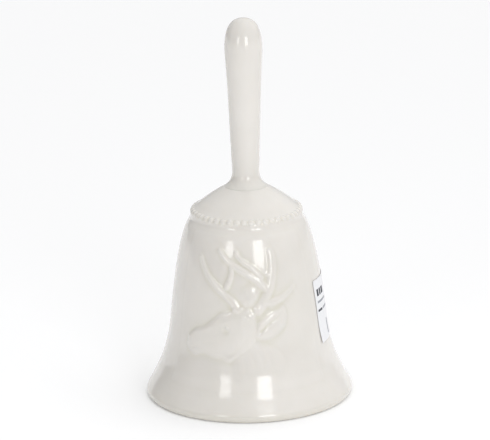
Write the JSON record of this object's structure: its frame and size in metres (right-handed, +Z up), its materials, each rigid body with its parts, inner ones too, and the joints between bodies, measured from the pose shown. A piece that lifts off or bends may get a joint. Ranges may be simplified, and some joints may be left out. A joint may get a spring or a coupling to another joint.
{
  "type": "porcelain table bell",
  "caption": "Glazed porcelain hand bell with a beaded shoulder, a moulded stag's head and a long handle. A ball clapper hangs inside on a chain.",
  "frame": {"origin": "centre of the mouth, on the plane that the rim stands on", "axes": "+Z up along the bell's axis to the tip of the handle; -Y is the front, with the stag's head; +X is the side with the label"},
  "size_m": [0.089, 0.089, 0.165],
  "materials": {
    "porcelain": "warm white porcelain under a clear glossy glaze; the rim it stands on is bare and matt",
    "cement": "matt off-white cement, left as it set",
    "wire": "bright nickel-plated steel wire, lightly dulled",
    "paper": "semi-matt white label paper printed with plain grey bars"
  },
  "bodies": {
    "bell": {"bell_shell": "porcelain", "handle": "porcelain", "anchor_plug": "cement", "anchor_eye": "wire", "price_label": "paper"},
    "link_1": {"chain_link_1": "wire"},
    "link_2": {"chain_link_2": "wire"},
    "link_3": {"chain_link_3": "wire"},
    "link_4": {"chain_link_4": "wire"},
    "link_5": {"chain_link_5": "wire"},
    "link_6": {"chain_link_6": "wire"},
    "clapper": {"clapper_wire": "wire", "clapper_ball": "porcelain"}
  },
  "joints": [
    {"name": "link_1_swing", "type": "hinge", "parent": "bell", "child": "link_1", "pos_m": [0, 0, 0.0809], "axis": [1, 0, 0], "range_deg": [-21, 21]},
    {"name": "link_2_swing", "type": "hinge", "parent": "link_1", "child": "link_2", "pos_m": [0, 0, 0.07442], "axis": [0, 1, 0], "range_deg": [-24, 24]},
    {"name": "link_3_swing", "type": "hinge", "parent": "link_2", "child": "link_3", "pos_m": [0, 0, 0.06794], "axis": [-1, 0, 0], "range_deg": [-27, 27]},
    {"name": "link_4_swing", "type": "hinge", "parent": "link_3", "child": "link_4", "pos_m": [0, 0, 0.06146], "axis": [0, -1, 0], "range_deg": [-32, 32]},
    {"name": "link_5_swing", "type": "hinge", "parent": "link_4", "child": "link_5", "pos_m": [0, 0, 0.05498], "axis": [1, 0, 0], "range_deg": [-38, 38]},
    {"name": "link_6_swing", "type": "hinge", "parent": "link_5", "child": "link_6", "pos_m": [0, 0, 0.0485], "axis": [0, 1, 0], "range_deg": [-48, 48]},
    {"name": "clapper_swing", "type": "hinge", "parent": "link_6", "child": "clapper", "pos_m": [0, 0, 0.04202], "axis": [-1, 0, 0], "range_deg": [-55, 55]}
  ]
}
